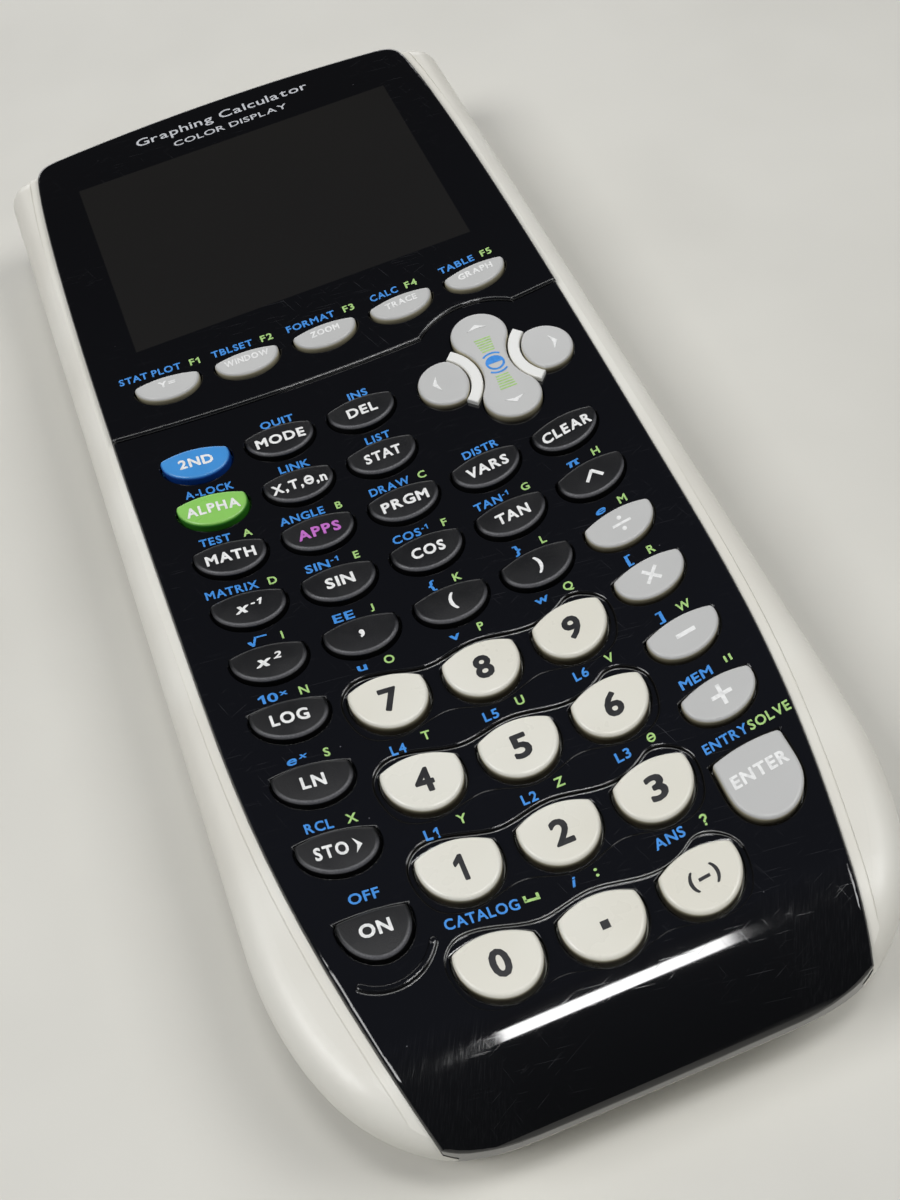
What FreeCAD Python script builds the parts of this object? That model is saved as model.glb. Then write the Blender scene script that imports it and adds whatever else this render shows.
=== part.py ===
import FreeCAD, Part
import math
import os
from FreeCAD import Matrix, Vector

os.makedirs("parts", exist_ok=True)

# Graphing calculator. Millimetres. +X to the right of the keypad, +Y towards the display,
# +Z out of the face. Lengths along Y are measured from a line across the keypad, and each
# saved part is moved by MIDDLE_Y, so that the origin is on the table under the case's middle.

# ---------------------------------------------------------------- driving dimensions
HALF_LENGTH = 95.0          # case, from the origin to the display end
NOSE_END = 93.25            # case, from the origin to the bottom end
HALF_WIDTH = 40.3           # case, at its widest
MIDDLE_Y = 1.18             # middle of the case's length, which becomes the origin
WIDEST_Z = 13.0             # height at which the case has those sizes
SIDE_DRAFT = 0.06           # how fast the case narrows below that height
END_DRAFT = 0.02
NOSE_DRAFT = 0.27
FOOT_HEIGHT = 1.2           # rubber feet stand this far below the case
FACE_Z = 19.4               # keypad face
WINDOW_RISE = 0.45          # display window stands this far above the keypad face
RIM_DROP = 0.5              # white shell lies this far below the keypad face
RIM_WIDTH = 1.4             # band of the shell beside the black face, a step lower still
RIM_STEP = 0.18
WALL = 1.8                  # thickness of the front cover
SHELL = 2.0                 # side wall of the rear cover
FLOOR = 1.6                 # floor of the rear cover
LEDGE_Z = 11.0              # front cover's wall stands on this ledge
LEDGE_THICK = 1.7
FIT = 0.05                  # gap between fixed pieces that nest

NOSE_Y = -80.0              # the face starts to curve down here, towards the bottom end
NOSE_R = 16.0
NOSE_TURN = 48.0            # degrees of that curve, before the tighter curve of the heel
HEEL_R = 3.6
HEEL_TURN = 88.0            # degrees at the end of the heel
SHELL_TURN = 62.0           # the shell has no heel, and its curve goes on to here
TOP_ROUND = 4.4             # round of the white shell's upper edge
BOTTOM_ROUND = 4.6          # round of the white shell's lower edge
FACE_ROUND = 0.7            # round of the black face's edge

WINDOW_FLOOR = 18.2         # the window plate lies on this step of the front cover
WINDOW_BEVEL = 0.3
LCD_OPENING = (29.5, 38.0, 83.0)
RECESS_Y = -37.4            # wavy recess of the first row of digit keys
RECESS_PITCH = 12.6
RECESS_DEPTH = 0.55
RECESS_ROUND = 0.3          # round of the recess's rim
POST_TOP = 18.0             # screw posts end inside the front cover's plate
RIDGE_HEIGHT = 0.55
BOSS_R = 2.0

KEY_RISE = 1.2              # key tops above the keypad face
DIGIT_KEY_RISE = 1.1
GRAPH_KEY_RISE = 1.4        # top row, which comes through the window
KEY_GAP = 0.25              # gap between a key and its aperture
KEY_TRAVEL_SPACE = 0.3      # gap between a key's flange and the cover above it
FLANGE_THICK = 0.7
FLANGE_REACH = 0.55
FLANGE_CLEARANCE = 0.4      # between a flange and the cover's side wall
PLUNGER_LENGTH = 0.7
PLUNGER_R = 1.8
MOUTH_BEVEL = 0.18          # bevel at the mouth of a key's aperture
PITCH_X = 12.68             # key columns
GRAPH_ROW_Y = 29.15
FUNCTION_ROW_Y = 11.7
ROW_PITCH = 9.41            # rows of function keys
SIDE_ROW_Y = -33.55         # first of the three lower rows at either side
SIDE_PITCH = 10.04
DIGIT_ROW_Y = -37.05
DIGIT_PITCH = 12.65         # rows of digit keys
ON_KEY = (-24.5, -64.6)
ENTER_KEY = (24.75, -66.75)
ARROW_CENTRE = (21.0, 10.15)

BOARD_Z = 12.4              # underside of the circuit board
BOARD_THICK = 1.2
MEMBRANE_THICK = 0.7
PAD_THICK = 0.3
PAD_R = 2.1
LINK_X = 10.0               # the two sockets in the top end
LINK_R = 1.28
USB_X = -9.5
SOCKET_Z = 8.6

CELL_R = 5.25               # AAA cell
CELL_LENGTH = 44.5
CELL_PITCH = 11.0
CELL_Z = 8.15
BAY_X = 24.25               # battery bay, half width
BAY_Y = (34.4, 81.6)        # battery bay, inside
BAY_TOP = 13.8
BAY_WALL = 1.2
HATCH_Y = (37.0, 79.5)      # battery cover
HATCH_X = 24.0
HATCH_THICK = 1.4
HATCH_GAP = 0.2

SCREWS = [(33.2, 45.0), (33.2, -30.6), (22.5, -83.4)]
SCREW_HEAD_Z = 4.2
BOARD_POSTS = [(13.0, 0.0), (13.0, -62.0)]
FEET = [(29.0, 72.0), (26.0, -70.0)]
FOOT_R = 4.0

UNDER_FACE = FACE_Z - WALL
FLANGE_TOP = UNDER_FACE - KEY_TRAVEL_SPACE
FLANGE_BOTTOM = FLANGE_TOP - FLANGE_THICK
CASE_Z = FOOT_HEIGHT
MEMBRANE_Z = BOARD_Z + BOARD_THICK


# ---------------------------------------------------------------- helpers
def v(x, y, z=0.0):
    return Vector(x, y, z)


def spline(points, start=None, end=None):
    curve = Part.BSplineCurve()
    if start is None:
        curve.interpolate([v(*p) for p in points])
    else:
        curve.interpolate([v(*p) for p in points], InitialTangent=v(*start), FinalTangent=v(*end))
    return curve.toShape()


def grown(wire, grow, half_x, half_y):
    """The wire with its half width and half length each changed by grow."""
    if not grow:
        return wire
    matrix = Matrix()
    matrix.scale(1 + grow / half_x, 1 + grow / half_y, 1)
    return Part.Wire(wire.transformGeometry(matrix).Edges)


def mirrored(edges):
    """The same edges on the other side of the YZ plane, in reverse order."""
    return [e.mirror(v(0, 0), v(1, 0)) for e in reversed(edges)]


def prism(wire, z_low, z_high):
    face = Part.Face(wire)
    face.translate(v(0, 0, z_low))
    return face.extrude(v(0, 0, z_high - z_low))


def block(x0, x1, y0, y1, z0, z1):
    return Part.makeBox(x1 - x0, y1 - y0, z1 - z0, v(x0, y0, z0))


def rod(x, y, z0, z1, radius):
    return Part.makeCylinder(radius, z1 - z0, v(x, y, z0))


def both_sides(places):
    return [(side * x, y) for x, y in places for side in (-1, 1)]


def save(name, shape):
    shape = shape.removeSplitter()
    solids = shape.Solids
    shape = solids[0] if len(solids) == 1 else Part.makeCompound(solids)
    shape.translate(v(0, -MIDDLE_Y))
    shape.exportStep("parts/%s.step" % name)
    print(name, len(solids), "solid(s)", round(shape.Volume, 1), "mm3", shape.isValid())


# ---------------------------------------------------------------- outlines of the case
def case_outline():
    """Widest line of the case: straight sides, tight top corners, broad bottom corners."""
    corner_y = 88.5
    side_end = -60.0
    top = Part.Arc(v(34.8, 93.4), v(0, HALF_LENGTH), v(-34.8, 93.4)).toShape()
    corner = spline([(34.8, 93.4), (38.9, 91.9), (HALF_WIDTH, corner_y)], (1, -0.1), (0, -1))
    side = Part.makeLine(v(HALF_WIDTH, corner_y), v(HALF_WIDTH, side_end))
    foot = spline(
        [(HALF_WIDTH, side_end), (39.4, -70.0), (37.3, -77.6), (33.5, -84.8), (29.3, -89.3),
         (25.6, -91.6), (20.5, -92.9), (15.5, -93.2)],
        (0, -1), (-1, -0.02))
    base = Part.Arc(v(15.5, -93.2), v(0, -NOSE_END), v(-15.5, -93.2)).toShape()
    right = [corner, side, foot]
    return Part.Wire(Part.__sortEdges__([top] + right + [base] + mirrored(right)))


def case_section(z, grow=0.0):
    """Outline of the case at one height; below the widest line it narrows by the drafts."""
    drop = WIDEST_Z - z
    half = HALF_WIDTH + grow - SIDE_DRAFT * drop
    far_end = HALF_LENGTH + grow - END_DRAFT * drop
    near_end = -NOSE_END - grow + NOSE_DRAFT * drop
    scale_y = (far_end - near_end) / (HALF_LENGTH + NOSE_END)
    matrix = Matrix()
    matrix.scale(half / HALF_WIDTH, scale_y, 1)
    matrix.move(v(0, far_end - HALF_LENGTH * scale_y, z))
    return Part.Wire(case_outline().transformGeometry(matrix).Edges)


def case_form(z_low, z_high, grow=0.0):
    """Solid of the case's tapering outside between two heights."""
    return Part.makeLoft([case_section(z_low, grow), case_section(z_high, grow)], True, True)


def face_outline(grow=0.0):
    """Edge of the black face, which narrows towards the bottom end."""
    top = Part.Arc(v(30.5, 92.4), v(0, 94.0), v(-30.5, 92.4)).toShape()
    corner = spline([(30.5, 92.4), (33.4, 91.2), (34.6, 88.0)], (1, -0.1), (0.12, -1))
    side = spline(
        [(34.6, 88.0), (35.65, 73.0), (36.2, 50.0), (36.15, 15.0), (35.7, -17.0), (34.6, -46.0),
         (32.3, -64.0), (29.05, -80.0), (27.1, -88.0), (26.4, -90.6)],
        (0.12, -1), (-0.27, -1))
    heel = spline([(26.4, -90.6), (24.4, -91.5), (21.0, -92.25), (16.0, -92.6)], (-1, -0.6), (-1, -0.02))
    base = Part.Arc(v(16.0, -92.6), v(0, -92.66), v(-16.0, -92.6)).toShape()
    right = [corner, side, heel]
    wire = Part.Wire(Part.__sortEdges__([top] + right + [base] + mirrored(right)))
    return grown(wire, grow, 36.2, 93.3)


def under_profile(z_top, nose_grow=0.0, heel=True):
    """Everything below a top that is flat, then curves down at the bottom end."""
    reach = 120.0
    depth = -5.0
    tail_length = 8.0

    def bend(centre, radius, start, end):
        edge = Part.Arc(*[centre + v(0, -math.sin(a), math.cos(a)) * radius
                          for a in (start, (start + end) / 2, end)]).toShape()
        return edge

    nose = NOSE_R + nose_grow
    turn = math.radians(NOSE_TURN if heel else SHELL_TURN)
    centre = v(0, NOSE_Y, z_top - nose)
    curve = [bend(centre, nose, 0, turn)]
    if heel:
        last = math.radians(HEEL_TURN)
        tight = HEEL_R + nose_grow
        heel_centre = centre + v(0, -math.sin(turn), math.cos(turn)) * (nose - tight)
        curve.append(bend(heel_centre, tight, turn, last))
        turn = last
    end = curve[-1].Vertexes[-1].Point
    tail = end + v(0, -math.cos(turn), -math.sin(turn)) * tail_length
    edges = [Part.makeLine(v(0, reach, z_top), v(0, NOSE_Y, z_top))] + curve + [
        Part.makeLine(end, tail),
        Part.makeLine(tail, v(0, tail.y, depth)),
        Part.makeLine(v(0, tail.y, depth), v(0, reach, depth)),
        Part.makeLine(v(0, reach, depth), v(0, reach, z_top)),
    ]
    face = Part.Face(Part.Wire(edges))
    face.translate(v(-reach / 2, 0, 0))
    return face.extrude(v(reach, 0, 0))


def top_edges(solid, z_min, wall=0.01, up=0.1):
    """Edges between the upper surface and the side walls, whose normals' slopes are given."""
    found = []
    for edge in solid.Edges:
        middle = edge.valueAt((edge.FirstParameter + edge.LastParameter) / 2)
        faces = solid.ancestorsOfType(edge, Part.Face)
        tilts = []
        for face in faces:
            u, w = face.Surface.parameter(middle)
            tilts.append(abs(face.normalAt(u, w).z))
        if middle.z > z_min and min(tilts) < wall and max(tilts) > up:
            found.append(edge)
    return found


# ---------------------------------------------------------------- keys
# Each key outline has a flat-crowned top edge and a half-ellipse below its widest line:
# half width, depth below that line, height of the top corners above it, crown, straight sides.
KEY_SHAPES = {
    "function": (5.1, 4.05, 1.0, 0.75, False),
    "graph": (5.05, 3.7, 0.5, 0.6, False),
    "digit": (5.1, 5.2, 1.6, 1.3, False),
    "on": (4.45, 5.05, 0.8, 0.35, False),
    "enter": (4.85, 5.4, 4.5, 0.5, True),
}
EDGE_ROUND = {"function": 0.5, "graph": 0.6, "digit": 0.6, "on": 0.5, "enter": 0.55, "arrow": 0.6}
DOME_R = {"function": 42.0, "graph": 60.0, "digit": 70.0, "on": 60.0, "enter": 90.0, "arrow": 40.0}
CORNER_ROUND = 0.65


def key_wire(shape, x, y, slope, grow=0.0):
    """Outline of a key; its rows rise towards the sides, so the outline is sheared by slope."""
    half, drop, corner, crown, straight = KEY_SHAPES[shape]
    half += grow
    drop += grow
    corner += grow
    steps = 12
    if straight:
        edge_x = half
        lower = [(half, corner), (half, corner * 0.5)]
        lower += [(half * math.cos(a), -drop * math.sin(a))
                  for a in (math.pi * i / steps for i in range(steps + 1))]
        lower += [(-half, corner * 0.5), (-half, corner)]
    else:
        rise = math.asin(corner / drop)
        edge_x = half * math.cos(rise)
        turn = math.pi + 2 * rise
        angles = [rise - turn * i / steps for i in range(steps + 1)]
        lower = [(half * math.cos(a), drop * math.sin(a)) for a in angles]
    upper = [(edge_x * t, corner + crown * (1 - t * t)) for t in (-1, -0.5, 0, 0.5, 1)]
    curves = [spline([(x + px, y + py + slope * px) for px, py in line]) for line in (lower, upper)]
    return Part.Wire(curves)


def key_solid(wire, flange_wire, top, style, x, y):
    """Cap with a domed top and rounded edge, a flange that the cover holds, and a plunger."""
    radius = DOME_R[style]
    cap = prism(wire, FLANGE_BOTTOM, top + 1)
    corners = [e for e in cap.Edges if e.BoundBox.ZLength > 1 and e.BoundBox.XLength < 0.01]
    if style != "arrow":
        cap = cap.makeFillet(CORNER_ROUND, corners)
    dome = Part.makeSphere(radius, v(x, y, top - radius))
    cap = cap.common(dome)
    cap = cap.makeFillet(EDGE_ROUND[style], top_edges(cap, FLANGE_TOP + 1))
    plunger = rod(x, y, FLANGE_BOTTOM - PLUNGER_LENGTH, FLANGE_BOTTOM + 0.1, PLUNGER_R)
    flange = prism(flange_wire, FLANGE_BOTTOM, FLANGE_TOP)
    flange = flange.common(prism(face_outline(-WALL - FLANGE_CLEARANCE), FLANGE_BOTTOM, FLANGE_TOP))
    return cap.fuse([flange, plunger])


def opening(lower, upper, z_low, z_face):
    """Hole through a cover for one key, with a small bevel at its mouth."""
    bevel_low = lower.copy()
    bevel_low.translate(v(0, 0, z_face - MOUTH_BEVEL))
    bevel_high = upper.copy()
    bevel_high.translate(v(0, 0, z_face + 0.02))
    bevel = Part.makeLoft([bevel_low, bevel_high], True, True)
    return [prism(lower, z_low, z_face + 3), bevel]


def key_layout():
    """Every plain key: name, shape, position and slope of its row."""
    keys = []
    graph_row = ["y_equals", "window", "zoom", "trace", "graph"]
    for col, name in zip(range(-2, 3), graph_row):
        y = GRAPH_ROW_Y + 0.25 * col * col
        keys.append((name, "graph", col * PITCH_X, y, 0.042 * col))
    function_rows = [
        ["2nd", "mode", "del"],
        ["alpha", "variable", "stat"],
        ["math", "apps", "prgm", "vars", "clear"],
        ["inverse", "sin", "cos", "tan", "power"],
        ["square", "comma", "left_paren", "right_paren", "divide"],
    ]
    for row, names in enumerate(function_rows):
        for col, name in zip(range(-2, 3), names):
            y = FUNCTION_ROW_Y + 0.45 * col * col - ROW_PITCH * row
            keys.append((name, "function", col * PITCH_X, y, 0.075 * col))
    for col, names in ((-2, ["log", "ln", "store"]), (2, ["multiply", "minus", "plus"])):
        for row, name in enumerate(names):
            y = SIDE_ROW_Y - SIDE_PITCH * row
            keys.append((name, "function", col * PITCH_X, y, 0.075 * col))
    digit_rows = [["7", "8", "9"], ["4", "5", "6"], ["1", "2", "3"], ["0", "decimal", "negate"]]
    for row, names in enumerate(digit_rows):
        for col, name in zip(range(-1, 2), names):
            y = DIGIT_ROW_Y + 0.6 * col * col - DIGIT_PITCH * row
            keys.append((name, "digit", col * PITCH_X, y, 0.11 * col))
    keys.append(("on", "on", *ON_KEY, -0.1))
    keys.append(("enter", "enter", *ENTER_KEY, 0.125))
    return keys


# Arrow pad: an hourglass rocker, two lobes, and two arcs between them. The rocker's waist,
# the arcs and the lobes' inner sides share one centre on each side of the pad.
LOBE_R = 4.34
LOBE_OUT = 7.83             # lobes' centres from the pad's centre
ROCKER_OUT = 6.77           # rocker's lobes from the pad's centre
WAIST = 2.3                 # half width of the rocker's waist
WAIST_R = (WAIST ** 2 + ROCKER_OUT ** 2 - LOBE_R ** 2) / (2 * (LOBE_R - WAIST))
ARC_OUT = WAIST + WAIST_R   # shared centres from the pad's centre
ARC_OUTER_R = WAIST_R - KEY_GAP
ARC_INNER_R = ARC_OUTER_R - 1.75
ARC_RISE = 0.85
ARC_SPAN = 48.0


def polar(cx, cy, radius, degrees):
    turn = math.radians(degrees)
    return v(cx + radius * math.cos(turn), cy + radius * math.sin(turn))


def arc(cx, cy, radius, start, end):
    middle = polar(cx, cy, radius, (start + end) / 2)
    return Part.Arc(polar(cx, cy, radius, start), middle, polar(cx, cy, radius, end)).toShape()


def rocker_wire(grow=0.0):
    cx, cy = ARROW_CENTRE
    radius = LOBE_R + grow
    waist = WAIST_R - grow
    lean = math.degrees(math.atan2(ROCKER_OUT, ARC_OUT))
    return Part.Wire([
        arc(cx, cy + ROCKER_OUT, radius, -lean, 180 + lean),
        arc(cx - ARC_OUT, cy, waist, lean, -lean),
        arc(cx, cy - ROCKER_OUT, radius, 180 - lean, 360 + lean),
        arc(cx + ARC_OUT, cy, waist, 180 + lean, 180 - lean),
    ])


def lobe_wire(side, grow=0.0):
    """Round lobe whose inner side is cut by the arc beside it."""
    cx, cy = ARROW_CENTRE
    radius = LOBE_R + grow
    inner = ARC_INNER_R - KEY_GAP + grow
    spread = ARC_OUT - LOBE_OUT
    cross = (spread ** 2 + inner ** 2 - radius ** 2) / (2 * spread)
    inner_turn = math.degrees(math.acos(cross / inner))
    outer_turn = math.degrees(math.acos((cross - spread) / radius))
    edges = [
        arc(cx - ARC_OUT, cy, inner, -inner_turn, inner_turn),
        arc(cx - LOBE_OUT, cy, radius, outer_turn, 360 - outer_turn),
    ]
    wire = Part.Wire(edges)
    return wire if side < 0 else wire.mirror(v(cx, cy), v(1, 0))


def trim_wire(side):
    """One of the two arcs between the rocker and a lobe."""
    cx, cy = ARROW_CENTRE
    centre = cx - ARC_OUT
    inner = arc(centre, cy, ARC_INNER_R, -ARC_SPAN, ARC_SPAN)
    outer = arc(centre, cy, ARC_OUTER_R, ARC_SPAN, -ARC_SPAN)
    ends = [Part.makeLine(inner.Vertexes[-1].Point, outer.Vertexes[0].Point),
            Part.makeLine(outer.Vertexes[-1].Point, inner.Vertexes[0].Point)]
    wire = Part.Wire([inner, ends[0], outer, ends[1]])
    return wire if side < 0 else wire.mirror(v(cx, cy), v(1, 0))


# ---------------------------------------------------------------- covers


def window_region(grow=0.0):
    """Plan of the display window's side of its lower edge, which steps round the arrow pad."""
    reach = 45.0
    low = 20.5
    rise = 0.0017               # the edge rises towards the sides as rise * x * x
    bump_x, bump_y, bump_r = 21.2, 12.9, 11.5 - grow
    edge_r = 0.5 / rise
    sag = v(0, low - grow + edge_r)

    def edge_point(x):
        return v(x, sag.y - math.sqrt(edge_r ** 2 - x * x))

    def crossing(sign):
        x = bump_x + sign * bump_r / 2
        for _ in range(30):
            height = edge_point(x).y - bump_y
            x = bump_x + sign * math.sqrt(bump_r ** 2 - height ** 2)
        return edge_point(x)

    left, right = crossing(-1), crossing(1)
    edges = [
        Part.Arc(edge_point(-reach), edge_point((left.x - reach) / 2), left).toShape(),
        Part.Arc(left, v(bump_x, bump_y + bump_r), right).toShape(),
        Part.Arc(right, edge_point((right.x + reach) / 2), edge_point(reach)).toShape(),
        Part.makeLine(edge_point(reach), v(reach, 110)),
        Part.makeLine(v(reach, 110), v(-reach, 110)),
        Part.makeLine(v(-reach, 110), edge_point(-reach)),
    ]
    return Part.Wire(edges)


def recess_wire(y):
    """Wavy-edged recess round one row of digit keys."""
    top = [(13.2, 4.85), (6.3, 3.15), (0, 4.15), (-6.3, 3.15), (-13.2, 4.85)]
    left = [(-17.0, 4.55), (-18.4, 3.0), (-18.5, -0.5), (-17.0, -3.6)]
    base = [(-12.4, -5.05), (-6.3, -4.05), (0, -5.65), (6.3, -4.05), (12.4, -5.05)]
    right = [(-px, py) for px, py in reversed(left)]
    curve = Part.BSplineCurve()
    points = [v(px, y + py) for px, py in top + left + base + right]
    curve.interpolate(points, PeriodicFlag=True)
    return Part.Wire(curve.toShape())


def power_ridge():
    """Raised arc at the lower right of the ON key."""
    cx, cy = -24.4, -66.6
    inner, outer = 5.9, 6.85
    start, end = -130.0, -28.0
    middle = (inner + outer) / 2
    half = (outer - inner) / 2
    tips = [polar(cx, cy, middle, a) for a in (start, end)]
    ridge = prism(Part.Wire([
        arc(cx, cy, outer, start, end),
        arc(tips[1].x, tips[1].y, half, end, end + 180),
        arc(cx, cy, inner, end, start),
        arc(tips[0].x, tips[0].y, half, start + 180, start + 360),
    ]), UNDER_FACE + 0.5, FACE_Z + RIDGE_HEIGHT)
    rims = [e for e in ridge.Edges if e.BoundBox.ZMin > FACE_Z + RIDGE_HEIGHT - 0.01]
    return ridge.makeFillet(0.3, rims)


def cover_blank(z_low, z_top):
    """Solid of the black face's outline under a rounded top."""
    lift = z_top - FACE_Z
    solid = prism(face_outline(), z_low, z_top + 2).common(under_profile(z_top, lift))
    return solid.makeFillet(FACE_ROUND, top_edges(solid, z_low + 0.5))


def case_blank():
    """Solid of the white shell's outside, with a lower band along the black face."""
    top = FACE_Z - RIM_DROP
    solid = case_form(CASE_Z, FACE_Z).common(under_profile(top, -RIM_DROP, heel=False))
    solid = solid.makeFillet(TOP_ROUND, top_edges(solid, CASE_Z + 2, wall=0.3, up=0.45))
    rim = [e for e in solid.Edges if e.BoundBox.ZMax < CASE_Z + 0.001]
    solid = solid.makeFillet(BOTTOM_ROUND, rim)
    below_band = under_profile(top - RIM_STEP, -RIM_DROP - RIM_STEP, heel=False)
    return solid.cut(prism(face_outline(RIM_WIDTH), LEDGE_Z, FACE_Z).cut(below_band))


def front_cover(key_holes):
    cover = cover_blank(LEDGE_Z, FACE_Z)
    hollow = prism(face_outline(-WALL), LEDGE_Z - 1, FACE_Z).common(under_profile(UNDER_FACE, -WALL))
    window_step = prism(window_region(FIT), WINDOW_FLOOR, FACE_Z + 5)
    half, low, high = LCD_OPENING
    screen = block(-half, half, low, high, UNDER_FACE - 1, FACE_Z)
    cover = cover.cut([hollow, window_step, screen])
    for row in range(4):
        wire = recess_wire(RECESS_Y - RECESS_PITCH * row)
        pocket = prism(wire, FACE_Z - RECESS_DEPTH, FACE_Z + 2)
        cover = cover.cut(pocket)
    rims = [e for e in cover.Edges if e.BoundBox.ZMin > FACE_Z - 0.02
            and e.BoundBox.YMin > NOSE_Y and 30 < e.BoundBox.XLength < 40]
    cover = cover.makeFillet(RECESS_ROUND, rims)
    web = [prism(trim_wire(side), FACE_Z - 0.8, FACE_Z + 3) for side in (-1, 1)]
    cover = cover.fuse(power_ridge()).cut(key_holes + web)
    posts = [rod(x, y, 5.9, POST_TOP, BOSS_R) for x, y in both_sides(SCREWS)]
    limit = under_profile(UNDER_FACE + 0.8, -1.0)
    posts = [post.common(limit) for post in posts]
    bores = [rod(x, y, 5.0, 13.5, 0.97) for x, y in both_sides(SCREWS)]
    return cover.fuse(posts).cut(bores)


def display_window(graph_holes):
    plate = cover_blank(WINDOW_FLOOR, FACE_Z + WINDOW_RISE)
    plate = plate.common(prism(window_region(), WINDOW_FLOOR, FACE_Z + 5))
    lower_edge = []
    for edge in plate.Edges:
        box = edge.BoundBox
        if box.ZMin > FACE_Z + WINDOW_RISE - 0.01 and box.YMax < 26 and box.XLength > 3:
            lower_edge.append(edge)
    plate = plate.makeChamfer(WINDOW_BEVEL, lower_edge)
    return plate.cut(graph_holes)


def rear_cover():
    shell = case_blank()
    # The cavity steps in near the floor, so that the rounded lower edge keeps its wall.
    step = 1.5
    low_cavity = case_form(CASE_Z + FLOOR, CASE_Z + FLOOR + step, -SHELL - step)
    cavity = case_form(CASE_Z + FLOOR + step, LEDGE_Z - LEDGE_THICK, -SHELL)
    neck = prism(face_outline(-WALL), LEDGE_Z - LEDGE_THICK - 0.1, LEDGE_Z + 0.1)
    seat = prism(face_outline(FIT), LEDGE_Z, FACE_Z + 3)
    shell = shell.cut([low_cavity, cavity, neck, seat])
    bay_low, bay_high = BAY_Y
    half = BAY_X + BAY_WALL
    box = block(-half, half, bay_low - BAY_WALL, bay_high + BAY_WALL, CASE_Z + 0.4, BAY_TOP + 1.0)
    screw_posts = [rod(x, y, CASE_Z + 0.6, 5.8, 3.1) for x, y in both_sides(SCREWS)]
    board_posts = [rod(x, y, CASE_Z + 0.6, BOARD_Z, 2.2) for x, y in both_sides(BOARD_POSTS)]
    inside = case_form(CASE_Z, BOARD_Z, -SHELL)
    shell = shell.fuse([box] + [post.common(inside) for post in screw_posts] + board_posts)
    cuts = [
        block(-BAY_X, BAY_X, bay_low, bay_high, CASE_Z + FLOOR, BAY_TOP),
        block(-BAY_X, BAY_X, HATCH_Y[0] - HATCH_GAP, HATCH_Y[1] + HATCH_GAP, 0, BAY_TOP),
        Part.makeCylinder(2.3, 8.0, v(LINK_X, 89.0, SOCKET_Z), v(0, 1, 0)),
        block(USB_X - 4.1, USB_X + 4.1, 89, 97, SOCKET_Z - 2.15, SOCKET_Z + 2.15),
    ]
    for x, y in both_sides(SCREWS):
        cuts.append(rod(x, y, 0, SCREW_HEAD_Z, 2.25))
        cuts.append(rod(x, y, 0, 7.0, 1.2))
        cuts.append(rod(x, y, 5.8, LEDGE_Z + 0.1, 2.3))
    for x, y in both_sides(FEET):
        cuts.append(rod(x, y, 0, CASE_Z + 0.5, FOOT_R + FIT))
    return shell.cut(cuts)


# ---------------------------------------------------------------- inside
def board_plan(grow, y_low, y_high, z_low, z_high):
    """Plate that follows the face's outline, clear of the screw bosses."""
    plate = prism(face_outline(grow), z_low, z_high).common(block(-50, 50, y_low, y_high, 0, 40))
    return plate.cut([rod(x, y, 0, 40, 2.6) for x, y in both_sides(SCREWS)])


def circuit_board():
    """Board with its soldered chips, crystal and sockets, and the battery contacts."""
    top = MEMBRANE_Z
    board = board_plan(-2.6, -87.0, 32.8, BOARD_Z, top)
    tongue = block(26.2, 30.4, 30.0, 89.6, BOARD_Z, top)
    strip = block(-16.0, 30.4, 84.0, 89.6, BOARD_Z, top)
    processor = block(-8, 8, -30, -14, BOARD_Z - 1.6, BOARD_Z)
    memory = block(13, 21, -52, -38, BOARD_Z - 1.2, BOARD_Z)
    driver = block(-24, -14, 14, 24, BOARD_Z - 1.2, BOARD_Z)
    crystal = block(14, 19, -22, -14, BOARD_Z - 2.4, BOARD_Z)
    reservoir = rod(22, 12, BOARD_Z - 6.5, BOARD_Z, 3.0)
    link_body = block(LINK_X - 3.5, LINK_X + 3.5, 84.2, 91.8, SOCKET_Z - 2.4, BOARD_Z)
    link_nose = Part.makeCylinder(2.15, 3.2, v(LINK_X, 91.7, SOCKET_Z), v(0, 1, 0))
    link_bore = Part.makeCylinder(LINK_R, 9.4, v(LINK_X, 85.6, SOCKET_Z), v(0, 1, 0))
    link = link_body.fuse(link_nose).cut(link_bore)
    usb_body = block(USB_X - 3.85, USB_X + 3.85, 85.4, 94.3, SOCKET_Z - 1.95, SOCKET_Z + 1.95)
    usb_leg = block(USB_X - 3.0, USB_X + 3.0, 85.4, 90.6, SOCKET_Z + 1.9, BOARD_Z)
    usb_mouth = block(USB_X - 3.45, USB_X + 3.45, 87.4, 95, SOCKET_Z - 1.55, SOCKET_Z + 1.55)
    usb_tongue = block(USB_X - 2.0, USB_X + 2.0, 87.0, 93.4, SOCKET_Z - 0.1, SOCKET_Z + 0.7)
    usb = usb_body.fuse(usb_leg).cut(usb_mouth).fuse(usb_tongue)
    contacts = []
    low, high = BAY_Y
    for i in range(4):
        x = (i - 1.5) * CELL_PITCH
        tab = block(x - 4, x + 4, low + 0.05, low + 0.35, 4.0, 12.5)
        stud = Part.makeCylinder(2.4, 1.1, v(x, low + 0.3, CELL_Z), v(0, 1, 0))
        contacts.append(tab.fuse(stud))
        contacts.append(block(x - 4, x + 4, high - 0.35, high - 0.05, 4.0, 12.5))
    board = board.fuse([tongue, strip, processor, memory, driver, crystal, reservoir, link, usb])
    return Part.makeCompound([board] + contacts)


def key_membrane(places):
    """Rubber sheet with one low contact pad under each key."""
    z_top = MEMBRANE_Z + MEMBRANE_THICK
    sheet = board_plan(-3.0, -85.0, 32.4, MEMBRANE_Z, z_top)
    pads = [rod(x, y, z_top - 0.1, z_top + PAD_THICK, PAD_R) for x, y in places]
    return sheet.fuse(pads)


def lcd_module():
    frame = block(-30.4, 30.4, 36.4, 84.6, 15.2, 17.5)
    glass = block(-28.0, 28.0, 39.2, 81.8, 17.5, WINDOW_FLOOR - 0.1)
    return Part.makeCompound([frame, glass])


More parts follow.
